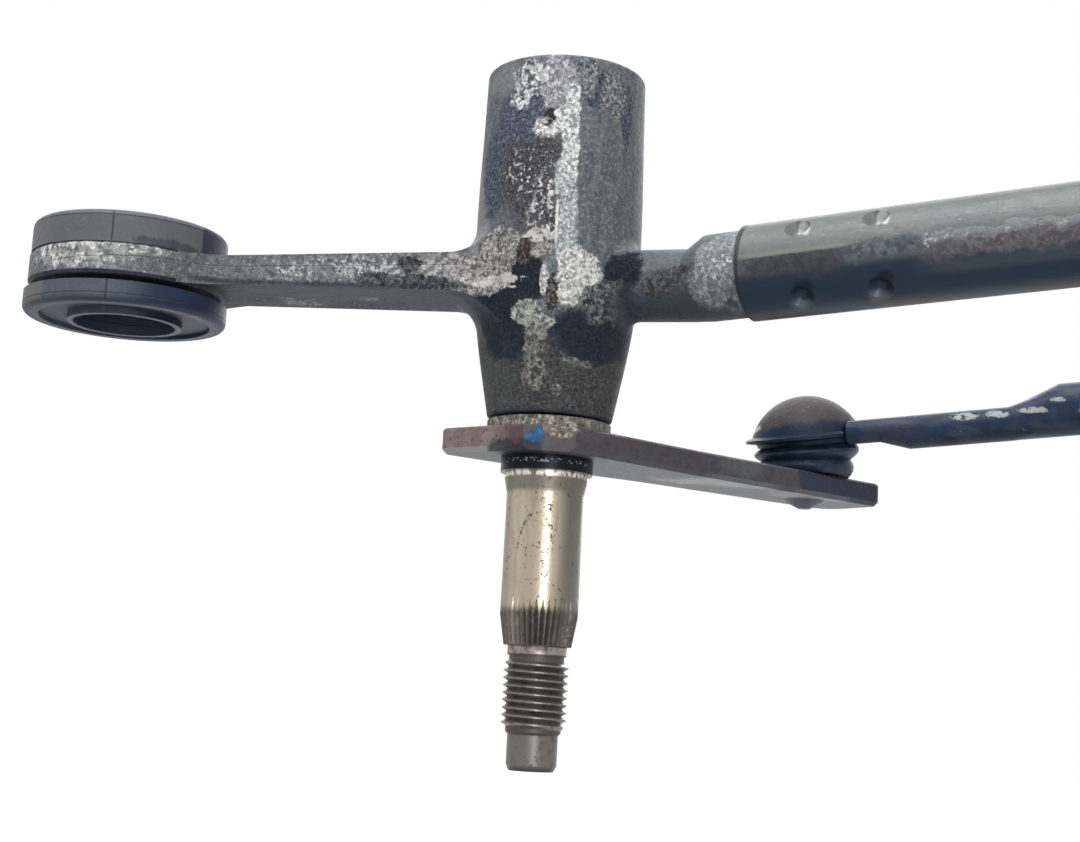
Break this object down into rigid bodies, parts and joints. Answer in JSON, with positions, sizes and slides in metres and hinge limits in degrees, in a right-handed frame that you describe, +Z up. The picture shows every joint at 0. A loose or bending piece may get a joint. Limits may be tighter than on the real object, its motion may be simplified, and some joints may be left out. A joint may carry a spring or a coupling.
{
  "type": "wiper linkage pivot assembly",
  "caption": "Windscreen wiper linkage pivot: cast spindle housing on a rubber-mounted arm, crimped frame tube, crank lever and ball-jointed drive link.",
  "frame": {"origin": "on the spindle's axis, where the knurled taper for the wiper arm meets the journal", "axes": "+Z up the spindle from its threaded tip through the housing; +X away from the mounting arm; +Y to the side of the crank lever's ball"},
  "size_m": [0.3024, 0.1512, 0.1107],
  "materials": {
    "cast_aluminium": "rough cast, weathered",
    "zinc_steel": "dull zinc, stained",
    "mount_rubber": "matt",
    "sleeve_steel": "satin",
    "bush_bronze": "sintered",
    "seal_rubber": "matt",
    "spindle_steel": "ground",
    "lever_steel": "stained",
    "stud_steel": "polished, greased",
    "washer_steel": "stained",
    "spring_steel": "oiled black",
    "link_paint": "worn dark coat",
    "cup_plastic": "satin",
    "cap_steel": "worn dark coat",
    "boot_rubber": "matt"
  },
  "bodies": {
    "frame": {"pivot_housing": "cast_aluminium", "frame_tube": "zinc_steel", "mount_grommet": "mount_rubber", "grommet_sleeve": "sleeve_steel", "lower_bush": "bush_bronze", "upper_bush": "bush_bronze", "shaft_seal": "seal_rubber"},
    "crank": {"spindle": "spindle_steel", "crank_lever": "lever_steel", "ball_stud": "stud_steel", "lower_thrust_washer": "washer_steel", "upper_thrust_washer": "washer_steel", "spring_washer": "spring_steel", "retaining_ring": "spring_steel"},
    "link": {"drive_link": "link_paint", "crank_socket_cup": "cup_plastic", "crank_socket_cap": "cap_steel", "crank_ball_boot": "boot_rubber", "motor_socket_cup": "cup_plastic", "motor_socket_cap": "cap_steel", "motor_ball_boot": "boot_rubber"}
  },
  "joints": [
    {"name": "crank_swing", "type": "hinge", "parent": "frame", "child": "crank", "pos_m": [0, 0, 0], "axis": [0, 0, 1], "range_deg": [-25, 71]},
    {"name": "link_swivel", "type": "hinge", "parent": "crank", "child": "link", "pos_m": [0.04594, 0.03589, 0.036], "axis": [0, 0, 1], "range_deg": [-71, 25]}
  ],
  "couplings": [
    {"joint": "link_swivel", "follows": "crank_swing", "ratio": -1}
  ]
}
